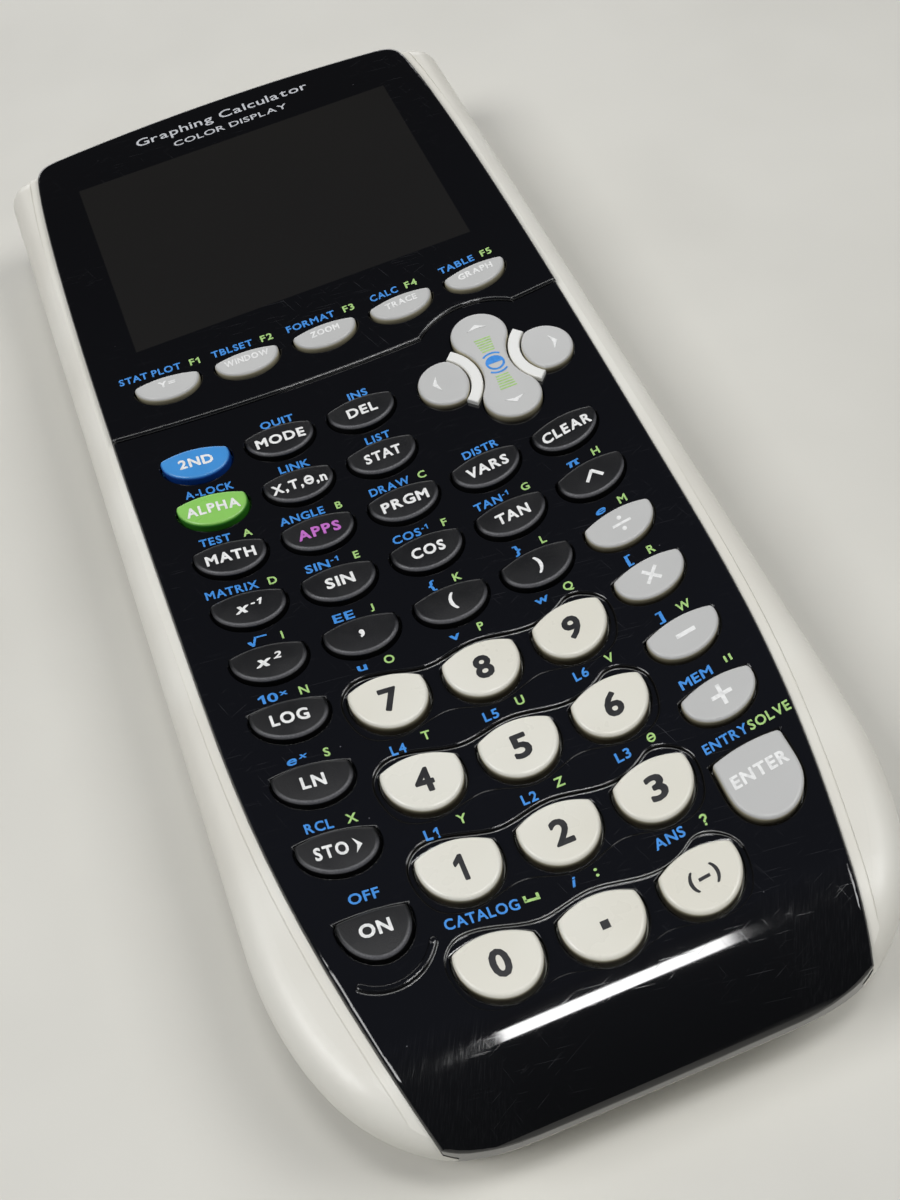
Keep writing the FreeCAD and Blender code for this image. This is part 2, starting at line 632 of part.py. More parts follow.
def cells():
    """Four AAA cells side by side, alternate ones turned round."""
    body_length = CELL_LENGTH - 0.9
    start = BAY_Y[0] + 1.45
    pack = []
    for i in range(4):
        x = (i - 1.5) * CELL_PITCH
        up = i % 2 == 0
        y = start if up else start + 0.9
        can = Part.makeCylinder(CELL_R, body_length, v(x, y, CELL_Z), v(0, 1, 0))
        can = can.makeFillet(0.5, [e for e in can.Edges if e.Length < 34])
        nub_y = y + body_length - 0.1 if up else y - 0.9
        nub = Part.makeCylinder(1.9, 1.0, v(x, nub_y, CELL_Z), v(0, 1, 0))
        pack.append(can.fuse(nub))
    return Part.makeCompound(pack)


def battery_cover():
    """Plate that fills the hatch, with two tongues that hook over the case floor."""
    low, high = HATCH_Y
    plate = block(-HATCH_X, HATCH_X, low, high, CASE_Z, CASE_Z + HATCH_THICK)
    grip = Part.makeCylinder(6.0, 12.0, v(-6.0, high - 6.0, CASE_Z - 5.45), v(1, 0, 0))
    plate = plate.cut(grip)
    arms = []
    for side in (-1, 1):
        x = side * 22.9
        rise = block(x - 0.8, x + 0.8, low + 0.4, low + 2.0, CASE_Z + 1.0, CASE_Z + 3.1)
        hook = block(x - 0.8, x + 0.8, low - 2.2, low + 2.0, CASE_Z + 2.0, CASE_Z + 3.1)
        arms += [rise, hook]
    return plate.fuse(arms)


def case_screws():
    screws = []
    for x, y in both_sides(SCREWS):
        head = rod(x, y, SCREW_HEAD_Z - 1.5, SCREW_HEAD_Z, 2.0)
        slots = [block(x - 1.1, x + 1.1, y - 0.25, y + 0.25, 0, SCREW_HEAD_Z - 0.8),
                 block(x - 0.25, x + 0.25, y - 1.1, y + 1.1, 0, SCREW_HEAD_Z - 0.8)]
        screws.append(head.cut(slots).fuse(rod(x, y, SCREW_HEAD_Z - 0.1, 12.6, 0.94)))
    return Part.makeCompound(screws)


def rubber_feet():
    feet = []
    for x, y in both_sides(FEET):
        foot = rod(x, y, 0, CASE_Z + 0.5, FOOT_R)
        sole = [e for e in foot.Edges if e.BoundBox.ZMax < 0.001]
        feet.append(foot.makeFillet(0.4, sole))
    return Part.makeCompound(feet)


# ---------------------------------------------------------------- build
def build():
    arrow_x, arrow_y = ARROW_CENTRE
    key_top = FACE_Z + KEY_RISE
    low = UNDER_FACE - 1
    face_holes, window_holes, places = [], [], []
    for name, shape, x, y, slope in key_layout():
        graph = shape == "graph"
        top = FACE_Z + {"graph": GRAPH_KEY_RISE, "digit": DIGIT_KEY_RISE}.get(shape, KEY_RISE)
        wire = key_wire(shape, x, y, slope)
        flange = key_wire(shape, x, y, slope, FLANGE_REACH)
        save("key_" + name, key_solid(wire, flange, top, shape, x, y))
        hole = key_wire(shape, x, y, slope, KEY_GAP)
        mouth = key_wire(shape, x, y, slope, KEY_GAP + 0.2)
        surface = FACE_Z
        if graph:
            surface += WINDOW_RISE
        if shape == "digit":
            surface -= RECESS_DEPTH
        cutters = opening(hole, mouth, low, surface)
        face_holes.append(cutters[0])
        if graph:
            window_holes += cutters
        else:
            face_holes.append(cutters[1])
        places.append((x, y))
    for side, name in ((-1, "left"), (1, "right")):
        x = arrow_x + side * LOBE_OUT
        wire, flange = lobe_wire(side), lobe_wire(side, FLANGE_REACH)
        save("key_" + name, key_solid(wire, flange, key_top, "arrow", x, arrow_y))
        face_holes.append(prism(lobe_wire(side, KEY_GAP), low, FACE_Z + 3))
        places.append((x, arrow_y))
    rocker = prism(rocker_wire(), FLANGE_BOTTOM, key_top)
    rocker = rocker.makeFillet(0.55, top_edges(rocker, FACE_Z))
    wings = block(arrow_x - 3.2, arrow_x + 3.2, arrow_y - 2.4, arrow_y + 2.4, FLANGE_BOTTOM, FLANGE_TOP)
    save("rocker_up_down", rocker.fuse(wings))
    face_holes.append(prism(rocker_wire(KEY_GAP), low, FACE_Z + 3))
    places += [(arrow_x, arrow_y + ROCKER_OUT), (arrow_x, arrow_y - ROCKER_OUT)]
    trims = [prism(trim_wire(side), FACE_Z - 0.8, FACE_Z + ARC_RISE) for side in (-1, 1)]
    trims = [t.makeFillet(0.3, top_edges(t, FACE_Z)) for t in trims]
    save("arrow_pad_arcs", Part.makeCompound(trims))

    save("front_cover", front_cover(face_holes))
    save("display_window", display_window(window_holes))
    save("rear_cover", rear_cover())
    save("battery_cover", battery_cover())
    save("battery_cells", cells())
    save("lcd_module", lcd_module())
    save("circuit_board", circuit_board())
    save("key_membrane", key_membrane(places))
    save("case_screws", case_screws())
    save("rubber_feet", rubber_feet())


build()
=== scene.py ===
import math
from collections import namedtuple

import bmesh
import bpy
from mathutils import Matrix, Vector
from mathutils.bvhtree import BVHTree
from mathutils.geometry import delaunay_2d_cdt


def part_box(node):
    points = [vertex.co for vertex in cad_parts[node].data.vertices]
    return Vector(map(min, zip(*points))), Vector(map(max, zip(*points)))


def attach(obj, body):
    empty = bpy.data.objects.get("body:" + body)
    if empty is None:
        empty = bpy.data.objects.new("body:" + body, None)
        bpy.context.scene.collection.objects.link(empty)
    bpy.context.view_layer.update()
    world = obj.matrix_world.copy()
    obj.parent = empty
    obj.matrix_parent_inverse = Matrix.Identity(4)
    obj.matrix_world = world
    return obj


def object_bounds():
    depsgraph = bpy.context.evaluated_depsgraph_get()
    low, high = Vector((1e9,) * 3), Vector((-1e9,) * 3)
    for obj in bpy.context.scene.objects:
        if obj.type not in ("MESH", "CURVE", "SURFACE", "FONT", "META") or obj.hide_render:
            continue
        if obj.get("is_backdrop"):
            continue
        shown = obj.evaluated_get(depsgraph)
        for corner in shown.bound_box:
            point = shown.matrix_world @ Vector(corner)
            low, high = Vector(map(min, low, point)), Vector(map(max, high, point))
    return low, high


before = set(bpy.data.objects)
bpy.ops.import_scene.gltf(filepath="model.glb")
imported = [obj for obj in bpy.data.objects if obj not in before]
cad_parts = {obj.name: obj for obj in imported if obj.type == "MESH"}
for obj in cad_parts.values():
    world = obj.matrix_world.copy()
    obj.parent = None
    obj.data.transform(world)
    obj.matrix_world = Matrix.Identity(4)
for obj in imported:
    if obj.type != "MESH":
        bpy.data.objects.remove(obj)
cad_low, cad_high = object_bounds()
MM = 0.001


# ---------------------------------------------------------------------------
# Materials. Every texture is in millimetres of the object's own space.
# ---------------------------------------------------------------------------


class Shade:
    """A node material under construction, with short names for the nodes used most."""

    def __init__(self, name, colour, roughness, **sockets):
        self.material = bpy.data.materials.new(name)
        self.material.use_nodes = True
        self.tree = self.material.node_tree
        self.surface = self.tree.nodes["Principled BSDF"]
        self.surface.inputs["Base Color"].default_value = (*colour, 1)
        self.surface.inputs["Roughness"].default_value = roughness
        for socket, value in sockets.items():
            self.surface.inputs[socket.replace("_", " ")].default_value = value
        place = self.node("ShaderNodeTexCoord")
        self.millimetres = self.node("ShaderNodeVectorMath", operation="SCALE")
        self.millimetres.inputs["Scale"].default_value = 1 / MM
        self.join(place.outputs["Object"], self.millimetres.inputs[0])
        self.place = self.millimetres.outputs[0]
        self.normal = place.outputs["Normal"]
        self.bumps = None

    def node(self, kind, **settings):
        """A new node of this kind."""
        made = self.tree.nodes.new(kind)
        for key, value in settings.items():
            setattr(made, key, value)
        return made

    def join(self, source, target):
        """Links one socket to another."""
        self.tree.links.new(source, target)

    def turned(self, angle=0.0, stretch=(1, 1, 1), shift=(0, 0, 0)):
        """The place, turned about Z by this many degrees and then stretched."""
        turn = self.node("ShaderNodeMapping")
        turn.inputs["Rotation"].default_value = (0, 0, math.radians(angle))
        turn.inputs["Location"].default_value = shift
        self.join(self.place, turn.inputs["Vector"])
        scale = self.node("ShaderNodeMapping")
        scale.inputs["Scale"].default_value = stretch
        self.join(turn.outputs["Vector"], scale.inputs["Vector"])
        return scale.outputs["Vector"]

    def noise(self, size, detail=3.0, rough=0.55, where=None, distortion=0.0):
        """Noise whose lumps are about this many millimetres across."""
        made = self.node("ShaderNodeTexNoise")
        made.inputs["Scale"].default_value = 1 / size
        made.inputs["Detail"].default_value = detail
        made.inputs["Roughness"].default_value = rough
        made.inputs["Distortion"].default_value = distortion
        self.join(where or self.place, made.inputs["Vector"])
        return made.outputs["Fac"]

    def span(self, value, low, high, to_low=0.0, to_high=1.0, smooth=True):
        """The value's range low to high, spread over to_low to to_high."""
        made = self.node("ShaderNodeMapRange", interpolation_type="SMOOTHSTEP" if smooth else "LINEAR")
        made.inputs["From Min"].default_value = low
        made.inputs["From Max"].default_value = high
        made.inputs["To Min"].default_value = to_low
        made.inputs["To Max"].default_value = to_high
        self.join(value, made.inputs["Value"])
        return made.outputs["Result"]

    def maths(self, operation, a, b):
        """One step of arithmetic on two numbers or sockets."""
        made = self.node("ShaderNodeMath", operation=operation)
        for socket, value in zip(made.inputs, (a, b)):
            if isinstance(value, (int, float)):
                socket.default_value = value
            else:
                self.join(value, socket)
        return made.outputs[0]

    def axis(self, name, vector=None):
        """One coordinate of a vector, or of the place."""
        split = self.node("ShaderNodeSeparateXYZ")
        self.join(vector or self.place, split.inputs[0])
        return split.outputs[name]

    def blend(self, factor, a, b):
        """A colour between a and b, either of which may be a colour or a socket."""
        made = self.node("ShaderNodeMix", data_type="RGBA")
        self.join(factor, made.inputs["Factor"])
        for socket, value in ((made.inputs[6], a), (made.inputs[7], b)):
            if isinstance(value, tuple):
                socket.default_value = (*value, 1)
            else:
                self.join(value, socket)
        return made.outputs[2]

    def specks(self, spacing, size, share):
        """Small dots of this size, on about this share of a grid of this spacing."""
        cells = self.node("ShaderNodeTexVoronoi", feature="F1")
        cells.inputs["Scale"].default_value = 1 / spacing
        self.join(self.place, cells.inputs["Vector"])
        near = self.span(cells.outputs["Distance"], size / spacing * 0.6, size / spacing, 1, 0)
        pick = self.axis("X", cells.outputs["Color"])
        chosen = self.maths("LESS_THAN", pick, share)
        return self.maths("MULTIPLY", near, chosen)

    def hairlines(self, angle, length, width, amount, shift=(0, 0, 0)):
        """Fine straight scratches at this angle. Amount is from 0, none, to about 0.3, many."""
        where = self.turned(angle, (1 / length, 1 / width, 1 / length), shift)
        streak = self.noise(1.0, 1.0, 0.4, where)
        return self.span(streak, 0.80 - amount, 0.84 - amount)

    def bump(self, height, depth):
        """Adds relief of this depth in millimetres."""
        made = self.node("ShaderNodeBump")
        made.inputs["Strength"].default_value = 1.0
        made.inputs["Distance"].default_value = depth * MM
        self.join(height, made.inputs["Height"])
        if self.bumps is not None:
            self.join(self.bumps, made.inputs["Normal"])
        self.bumps = made.outputs["Normal"]
        self.join(self.bumps, self.surface.inputs["Normal"])

    def soft_edges(self, radius, y_from, y_to, x_to):
        """Rounds the sharp edges between these two places along the case for the light.
        Gives back how far an edge left of x_to faces the user, from 0 to 1, as the mask for a painted
        highlight on those edges."""
        made = self.node("ShaderNodeBevel", samples=6)
        made.inputs["Radius"].default_value = radius * MM
        along = self.axis("Y")
        inside = self.maths(
            "MULTIPLY",
            self.maths("GREATER_THAN", along, y_from),
            self.maths("LESS_THAN", along, y_to),
        )
        plain = self.node("ShaderNodeNewGeometry").outputs["Normal"]
        mix = self.node("ShaderNodeMix", data_type="VECTOR")
        self.join(inside, mix.inputs["Factor"])
        self.join(plain, mix.inputs[4])
        self.join(made.outputs["Normal"], mix.inputs[5])
        self.bumps = mix.outputs[1]
        leans = self.maths("SUBTRACT", self.axis("Y", plain), self.axis("Y", made.outputs["Normal"]))
        inside = self.maths("MULTIPLY", inside, self.maths("LESS_THAN", self.axis("X"), x_to))
        return self.maths("MULTIPLY", self.span(leans, 0.12, 0.42), inside)

    def set(self, socket, source):
        """Feeds one of the surface's sockets."""
        self.join(source, self.surface.inputs[socket])


def linear(red, green, blue):
    """A display colour, 0 to 255, as the linear colour that nodes take."""
    return tuple(
        (c / 255 / 12.92) if c / 255 <= 0.04045 else ((c / 255 + 0.055) / 1.055) ** 2.4
        for c in (red, green, blue)
    )


def moulded(name, colour, second, roughness, grain=0.012, grain_size=0.35, painted_wall_shade=None, **sockets):
    """Moulded plastic: faint colour drift, fine grain, handled patches and, on keys, walls with painted
    shade that deepens towards the face.
    """
    shade = Shade(name, colour, roughness, **sockets)
    drift = shade.span(shade.noise(28, 2), 0.35, 0.65)
    top = shade.blend(drift, colour, second)
    if painted_wall_shade:
        # painted shade: steep walls darken from their top down to the face
        painted_shade_on_steep = shade.span(shade.axis("Z", shade.normal), 0.62, 0.08)
        height = shade.span(shade.axis("Z"), WALL_FOOT, WALL_TOP)
        top = shade.blend(painted_shade_on_steep, top, shade.blend(height, *painted_wall_shade))
    shade.set("Base Color", top)
    handled = shade.noise(9, 4, 0.6)
    shade.set("Roughness", shade.span(handled, 0.3, 0.7, roughness - 0.05, roughness + 0.07))
    shade.bump(shade.noise(grain_size, 2, 0.5), grain)
    return shade


BLACK = linear(8, 8, 10)
PAINTED_EDGE_HIGHLIGHT = linear(206, 206, 204)                # painted highlight: the pale colour that edges facing the user are lightened to
# how strongly the painted highlight is mixed into the edges
EDGE_HIGHLIGHT_SHARE = 0.6
DIGITS_FROM, DIGITS_TO = -83.5, -31.5      # the digit keys' recesses, along the case
SEAM_TO = 23.7                             # lower edge of the display window ends here
SCUFFS_ALONG = -79, -82                    # the nose's scuffs fade in between these places
SCUFFS_ACROSS = 15, 19                     # and this far to either side of the middle
GLASS_SIDE = 28.08, 28.32                  # the clear glass turns black this far from its middle,
GLASS_END = 21.2, 21.45                    # across and along


def glossy_black(name, edge, y_from, y_to, x_to):
    """Polished black plastic with smears, hairline scratches, scuffs and dust, and a painted highlight on
    the edges that face the user.
    """
    shade = Shade(name, BLACK, 0.08, IOR=1.6)
    painted_highlight_mask = shade.soft_edges(edge, y_from, y_to, x_to)
    smear = shade.span(shade.noise(17, 5, 0.62, distortion=0.6), 0.35, 0.75, 0.0, 0.05)
    worn = shade.span(shade.noise(22, 2, 0.5), 0.42, 0.68)
    lines = shade.maths(
        "ADD",
        shade.hairlines(8, 7, 0.07, 0.07),
        shade.hairlines(-24, 5, 0.06, 0.06, (13, 5, 0)),
    )
    lines = shade.maths("ADD", lines, shade.hairlines(71, 6, 0.07, 0.05, (3, 31, 0)))
    lines = shade.maths("MULTIPLY", lines, worn)
    dust = shade.specks(2.6, 0.11, 0.12)
    marks = shade.maths("MAXIMUM", shade.maths("MULTIPLY", lines, 0.4), dust)
    along = shade.axis("Y")
    across = shade.maths("ABSOLUTE", shade.axis("X"), 0)
    low_end = shade.maths(
        "MULTIPLY",
        shade.span(along, *SCUFFS_ALONG, 0, 1),
        shade.span(across, *SCUFFS_ACROSS, 0, 1),
    )
    brushed = shade.span(shade.noise(1.0, 3, 0.7, shade.turned(-62, (0.3, 8, 1))), 0.45, 0.8)
    scuff = shade.maths("MULTIPLY", low_end, brushed)
    marks = shade.maths("MAXIMUM", marks, shade.maths("MULTIPLY", scuff, 0.07))
    worn_black = shade.blend(marks, BLACK, linear(84, 84, 88))
    # painted highlight: edges that face the user are lightened towards a pale grey
    shade.set("Base Color", shade.blend(shade.maths("MULTIPLY", painted_highlight_mask, EDGE_HIGHLIGHT_SHARE), worn_black, PAINTED_EDGE_HIGHLIGHT))
    gloss = shade.maths("ADD", shade.maths("ADD", smear, 0.035), shade.maths("MULTIPLY", lines, 0.2))
    shade.set("Roughness", shade.maths("ADD", gloss, shade.maths("MULTIPLY", scuff, 0.09)))
    shade.bump(shade.maths("SUBTRACT", 1.0, lines), 0.001)
    return shade


def shell_white():
    """White case plastic: satin, with a fine grain and blotches that darken it low down the sides."""
    shade = moulded("shell_white", linear(228, 226, 217), linear(220, 217, 207), 0.36, 0.006, 0.5)
    old = shade.surface.inputs["Base Color"].links[0].from_socket
    low = shade.maths("MULTIPLY", shade.span(shade.axis("Z"), 3, 12, 1, 0), shade.noise(6, 4, 0.6))
    shade.set("Base Color", shade.blend(shade.maths("MULTIPLY", low, 0.6), old, linear(196, 190, 176)))
    return shade


def face_black():
    digits_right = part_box("key_enter")[0].x / MM
    return glossy_black("face_black", 0.28, DIGITS_FROM, DIGITS_TO, digits_right)


def window_black():
    """The display window: black all round, and clear over the glass of the display."""
    shade = glossy_black("window_black", 0.45, DIGITS_TO, SEAM_TO, cad_high.x / MM)
    glass_low, glass_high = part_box("lcd_module")
    across = shade.axis("X")
    along = shade.axis("Y")
    middle = (glass_low + glass_high) / 2 / MM
    side = shade.maths("ABSOLUTE", shade.maths("SUBTRACT", across, middle.x), 0)
    end = shade.maths("ABSOLUTE", shade.maths("SUBTRACT", along, middle.y), 0)
    inside = shade.maths(
        "MULTIPLY",
        shade.span(side, *GLASS_SIDE, 1, 0),
        shade.span(end, *GLASS_END, 1, 0),
    )
    old = shade.surface.inputs["Base Color"].links[0].from_socket
    glass = shade.blend(shade.noise(40, 1), linear(30, 29, 27), linear(26, 25, 24))
    lit = shade.node("ShaderNodeMix", data_type="RGBA")
    shade.join(inside, lit.inputs["Factor"])
    shade.join(old, lit.inputs[6])
    shade.join(glass, lit.inputs[7])
    shade.set("Base Color", lit.outputs[2])
    return shade


KEY_WALL_PAINTED_SHADE = linear(62, 56, 42), linear(196, 188, 158)   # painted shade on a key's walls: its colour at the face and at its top
WALL_FOOT, WALL_TOP = 18.9, 20.3           # heights of those places
SOCKET_LENGTH = 9.3                        # the end sockets, along the case


def white_keys():
    return moulded("white_keys", linear(229, 227, 216), linear(223, 220, 207), 0.30, 0.004, 0.3, KEY_WALL_PAINTED_SHADE)


def grey_keys():
    return moulded("grey_keys", linear(197, 197, 195), linear(190, 190, 188), 0.40, 0.006, 0.22, KEY_WALL_PAINTED_SHADE)


def dark_keys():
    """Dark speckled plastic whose rounded edges on the user's side carry a painted highlight."""
    shade = moulded("dark_keys", linear(11, 11, 13), linear(9, 9, 10), 0.38, 0.03, 0.13)
    shade.surface.inputs["Specular IOR Level"].default_value = 0.5
    old = shade.surface.inputs["Base Color"].links[0].from_socket
    # painted highlight: rounded edges that face the user are lightened, broken up by the speckle
    towards = shade.span(shade.axis("Y", shade.normal), 0.0, -0.45)
    upward = shade.span(shade.axis("Z", shade.normal), 0.1, 0.5)
    painted_key_edge_highlight = shade.maths("MULTIPLY", shade.maths("MULTIPLY", towards, upward), 0.75)
    speckle = shade.span(shade.noise(0.16, 2, 0.5), 0.35, 0.75, 0.55, 1.0)
    painted_key_edge_highlight = shade.maths("MULTIPLY", painted_key_edge_highlight, speckle)
    shade.set("Base Color", shade.blend(painted_key_edge_highlight, old, linear(120, 120, 124)))
    return shade


def coloured_key(name, top, side):
    """A tinted key: lighter on its crown and deeper down its walls; the deeper side colour is painted
    shade.
    """
    shade = Shade(name, top, 0.32)
    up = shade.axis("Z", shade.normal)
    # painted shade: steep walls blend to the deeper side colour
    painted_wall_shade = shade.span(up, 0.35, 0.92, 1, 0)
    drift = shade.span(shade.noise(3, 3), 0.3, 0.7)
    crown = shade.blend(drift, top, tuple(c * 0.94 for c in top))
    shade.set("Base Color", shade.blend(painted_wall_shade, crown, side))
    shade.set("Roughness", shade.span(shade.noise(4, 4), 0.3, 0.7, 0.27, 0.38))
    shade.bump(shade.noise(0.25, 2), 0.004)
    return shade


def blue_key():
    return coloured_key("blue_key", linear(66, 146, 216), linear(16, 66, 150))


def green_key():
    return coloured_key("green_key", linear(142, 204, 98), linear(50, 128, 34))


def arc_white():
    return moulded("arc_white", linear(236, 236, 232), linear(228, 228, 224), 0.34, 0.004, 0.4)


def ink(name, colour):
    """Screen-printed ink: slightly uneven in colour and gloss."""
    shade = Shade(name, colour, 0.42)
    wear = shade.span(shade.noise(0.6, 3, 0.6), 0.30, 0.62)
    shade.set("Base Color", shade.blend(wear, tuple(c * 0.82 for c in colour), colour))
    shade.set("Roughness", shade.span(shade.noise(1.5, 2), 0.3, 0.7, 0.36, 0.52))
    shade.bump(shade.noise(0.12, 2), 0.003)
    return shade


def metal(name, colour, roughness):
    """Bare metal with fine drawn lines."""
    shade = Shade(name, colour, roughness, Metallic=1.0)
    lines = shade.noise(1.0, 3, 0.6, shade.turned(0, (0.08, 5, 5)))
    shade.set("Roughness", shade.span(lines, 0.2, 0.8, roughness - 0.08, roughness + 0.12))
    shade.set("Base Color", shade.blend(lines, tuple(c * 0.85 for c in colour), colour))
    shade.bump(lines, 0.004)
    return shade


def cell_metal():
    return metal("cell_metal", linear(200, 202, 205), 0.30)


def lcd_glass():
    shade = Shade("lcd_glass", linear(24, 24, 25), 0.07)
    shade.set("Roughness", shade.span(shade.noise(12, 4), 0.3, 0.7, 0.05, 0.12))
    shade.set("Base Color", shade.blend(shade.noise(30, 2), linear(22, 22, 24), linear(30, 29, 29)))
    return shade


def board_green():
    """The circuit board: green with tracks, and black or steel where the end sockets are."""
    shade = Shade("board_green", linear(24, 84, 48), 0.35)
    tracks = shade.noise(1.0, 1, 0.2, shade.turned(0, (0.12, 1.1, 1)))
    copper = shade.span(tracks, 0.48, 0.53)
    board = shade.blend(copper, linear(20, 78, 42), linear(42, 112, 66))
    board_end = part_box("circuit_board")[1].y / MM
    at_sockets = shade.span(shade.axis("Y"), board_end - SOCKET_LENGTH, board_end - SOCKET_LENGTH + 0.1)
    jack_side = shade.span(shade.axis("X"), -0.1, 0.1)
    socket = shade.blend(jack_side, linear(150, 152, 154), linear(22, 22, 24))
    shade.set("Base Color", shade.blend(at_sockets, board, socket))
    shade.bump(tracks, 0.02)
    return shade


def membrane_rubber():
    return moulded("membrane_rubber", linear(118, 120, 124), linear(108, 110, 114), 0.62, 0.01, 0.3)


def screw_steel():
    return metal("screw_steel", linear(150, 150, 152), 0.32)


def foot_rubber():
    return moulded("foot_rubber", linear(34, 34, 36), linear(28, 28, 30), 0.7, 0.03, 0.3)


MAKERS = (
    shell_white, face_black, window_black, white_keys, grey_keys, dark_keys, blue_key, green_key,
    arc_white, cell_metal, lcd_glass, board_green, membrane_rubber, screw_steel, foot_rubber,
)
finish_of = {maker.__name__: maker().material for maker in MAKERS}
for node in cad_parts.values():
    for held in node.material_slots:
        held.material = finish_of[held.material.name.split(".")[0]]

INKS = {
    "white": ink("ink_white", linear(240, 240, 238)).material,
    "blue": ink("ink_blue", linear(66, 146, 228)).material,
    "green": ink("ink_green", linear(172, 212, 128)).material,
    "violet": ink("ink_violet", linear(196, 110, 200)).material,
    "slate": ink("ink_slate", linear(36, 36, 38)).material,
    "silver": ink("ink_silver", linear(196, 198, 202)).material,
}


# ---------------------------------------------------------------------------
# Printing. A print is a thin closed layer of ink that lies on the CAD surface.
# Flat shapes are (points, faces) in millimetres around their own centre.
# ---------------------------------------------------------------------------

CAP_SHARE = 0.682      # height of a capital in the built-in font, for a size of 1
HEAVY = 0.050          # how far an outline is pushed out, for a capital of height 1
MEDIUM = 0.034
LIGHT = 0.012
LETTER_GAP = 0.15      # between letters, for a capital of height 1
SPACE = 0.36
TIGHT_PAIRS = {"AT": 0.12, "TA": 0.12, "LT": 0.10, "AV": 0.14, "VA": 0.14, "LO": 0.04, "AC": 0.04,
               "PA": 0.08, "AL": 0.03, "LA": 0.0, "RT": 0.04, "LE": 0.0}
RAISED_SCALE = 0.62    # size of a raised figure next to a capital
RAISED_BY = 0.48       # and how far up it starts
INK_ABOVE = 0.03       # millimetres of ink over the surface
INK_BELOW = 0.05       # and under it, so that no gap shows
PROBE_TOP = 40 * MM    # above everything


def extent(points):
    """Left, right, bottom and top of some points."""
    xs = [p[0] for p in points]
    ys = [p[1] for p in points]
    return min(xs), max(xs), min(ys), max(ys)


def joined(shapes):
    """Several flat shapes as one."""
    points, faces = [], []
    for some_points, some_faces in shapes:
        start = len(points)
        points += some_points
        faces += [tuple(i + start for i in f) for f in some_faces]
    return points, faces


def moved(shape, x=0.0, y=0.0, sx=1.0, sy=1.0):
    """The shape, stretched and then shifted."""
    return [(px * sx + x, py * sy + y) for px, py in shape[0]], shape[1]


def holds(outline, x, y):
    """Whether this place lies inside the outline."""
    inside = False
    for (ax, ay), (bx, by) in zip(outline, outline[1:] + outline[:1]):
        if (ay > y) != (by > y) and x < ax + (y - ay) * (bx - ax) / (by - ay):
            inside = not inside
    return inside


def merged(outlines):
    """One flat shape that covers every one of these anticlockwise outlines."""
    points, faces = [], []
    for outline in outlines:
        turns = zip(outline, outline[1:] + outline[:1])
        if sum(ax * by - ay * bx for (ax, ay), (bx, by) in turns) < 2e-5:
            continue
        faces.append(list(range(len(points), len(points) + len(outline))))
        points += [Vector(p) for p in outline]
    made = delaunay_2d_cdt(points, [], faces, 1, 1e-5, True)
    flat = [(p.x, p.y) for p in made[0]]
    kept = []
    for face, sources in zip(made[2], made[5]):
        middle = [sum(flat[i][axis] for i in face) / len(face) for axis in (0, 1)]
        if any(holds([points[i] for i in faces[source]], *middle) for source in sources):
            kept.append(tuple(face))
    return flat, kept


def heavier(shape, by):
    """The shape with its outline pushed out by this much, round at its corners."""
    points, faces = shape
    outlines = [[points[i] for i in f] for f in faces]
    sides = {}
    for face in faces:
        for one, two in zip(face, face[1:] + face[:1]):
            sides[(one, two)] = sides.get((two, one), 0) + 1
    ends = set()
    for (one, two) in sides:
        if (two, one) in sides:
            continue
        ends |= {one, two}
        (ax, ay), (bx, by_) = points[one], points[two]
        length = math.hypot(bx - ax, by_ - ay)
        if length < 1e-6:
            continue
        nx, ny = (by_ - ay) / length * by, -(bx - ax) / length * by
        outlines.append([(ax - nx, ay - ny), (ax + nx, ay + ny), (bx + nx, by_ + ny), (bx - nx, by_ - ny)])
    ring = [(by * math.cos(a), by * math.sin(a)) for a in (math.tau * (i + 0.5) / 8 for i in range(8))]
    outlines += [[(points[i][0] + x, points[i][1] + y) for x, y in ring] for i in ends]
    return merged(outlines)


def font_letter(letter):
    """A letter of the built-in font as (points, faces), with capitals 1 high."""
    curve = bpy.data.curves.new("letter", "FONT")
    curve.body = letter
    curve.size = 1 / CAP_SHARE
    curve.resolution_u = 3
    holder = bpy.data.objects.new("letter", curve)
    mesh = bpy.data.meshes.new_from_object(holder)
    points = [(p.co.x, p.co.y) for p in mesh.vertices]
    faces = [tuple(f.vertices) for f in mesh.polygons]
    bpy.data.objects.remove(holder)
    bpy.data.curves.remove(curve)
    bpy.data.meshes.remove(mesh)
    return points, faces


STEM = 0.135           # stroke of the built-in font, for a capital of height 1
known_glyphs = {}      # the letters made so far


def glyph(letter, bold, slant=0.0):
    """One letter with its left edge at 0 and its capital height 1, once it is made bold."""
    if (letter, bold, slant) not in known_glyphs:
        if letter == "1":
            flag = [(0.29, 1.0), (0.0, 0.74), (0.0, 0.62), (0.25, 0.80)]
            shape = polygon(*flag, (0.25, 0.0), (0.39, 0.0), (0.39, 1.0))
        elif letter == "θ":
            ring = moved(disc(0.5, hole=0.5 - STEM), sx=0.86)
            shape = joined([moved(ring, 0.43, 0.5), moved(bar(0.5, STEM), 0.43, 0.5)])
        elif letter == "π":
            foot = [(0.56, 0.0), (0.78, 0.0), (0.78, 0.12), (0.70, 0.14)]
            legs = [
                polygon((0.10, 0.0), (0.25, 0.0), (0.34, 0.70), (0.20, 0.70)),
                polygon(*foot, (0.70, 0.70), (0.56, 0.70)),
            ]
            shape = joined([moved(bar(0.86, 0.15), 0.43, 0.68)] + legs)
        else:
            shape = font_letter(letter)
            if letter == "J":
                low, high = extent(shape[0])[2:]
                shape = moved(shape, 0, -low / (high - low), 1, 1 / (high - low))
        shape = heavier(shape, bold)
        scale = 1 / (1 + 2 * bold)
        points = [((x + slant * y) * scale, (y + bold) * scale) for x, y in shape[0]]
        left = extent(points)[0]
        known_glyphs[(letter, bold, slant)] = ([(x - left, y) for x, y in points], shape[1])
    return known_glyphs[(letter, bold, slant)]


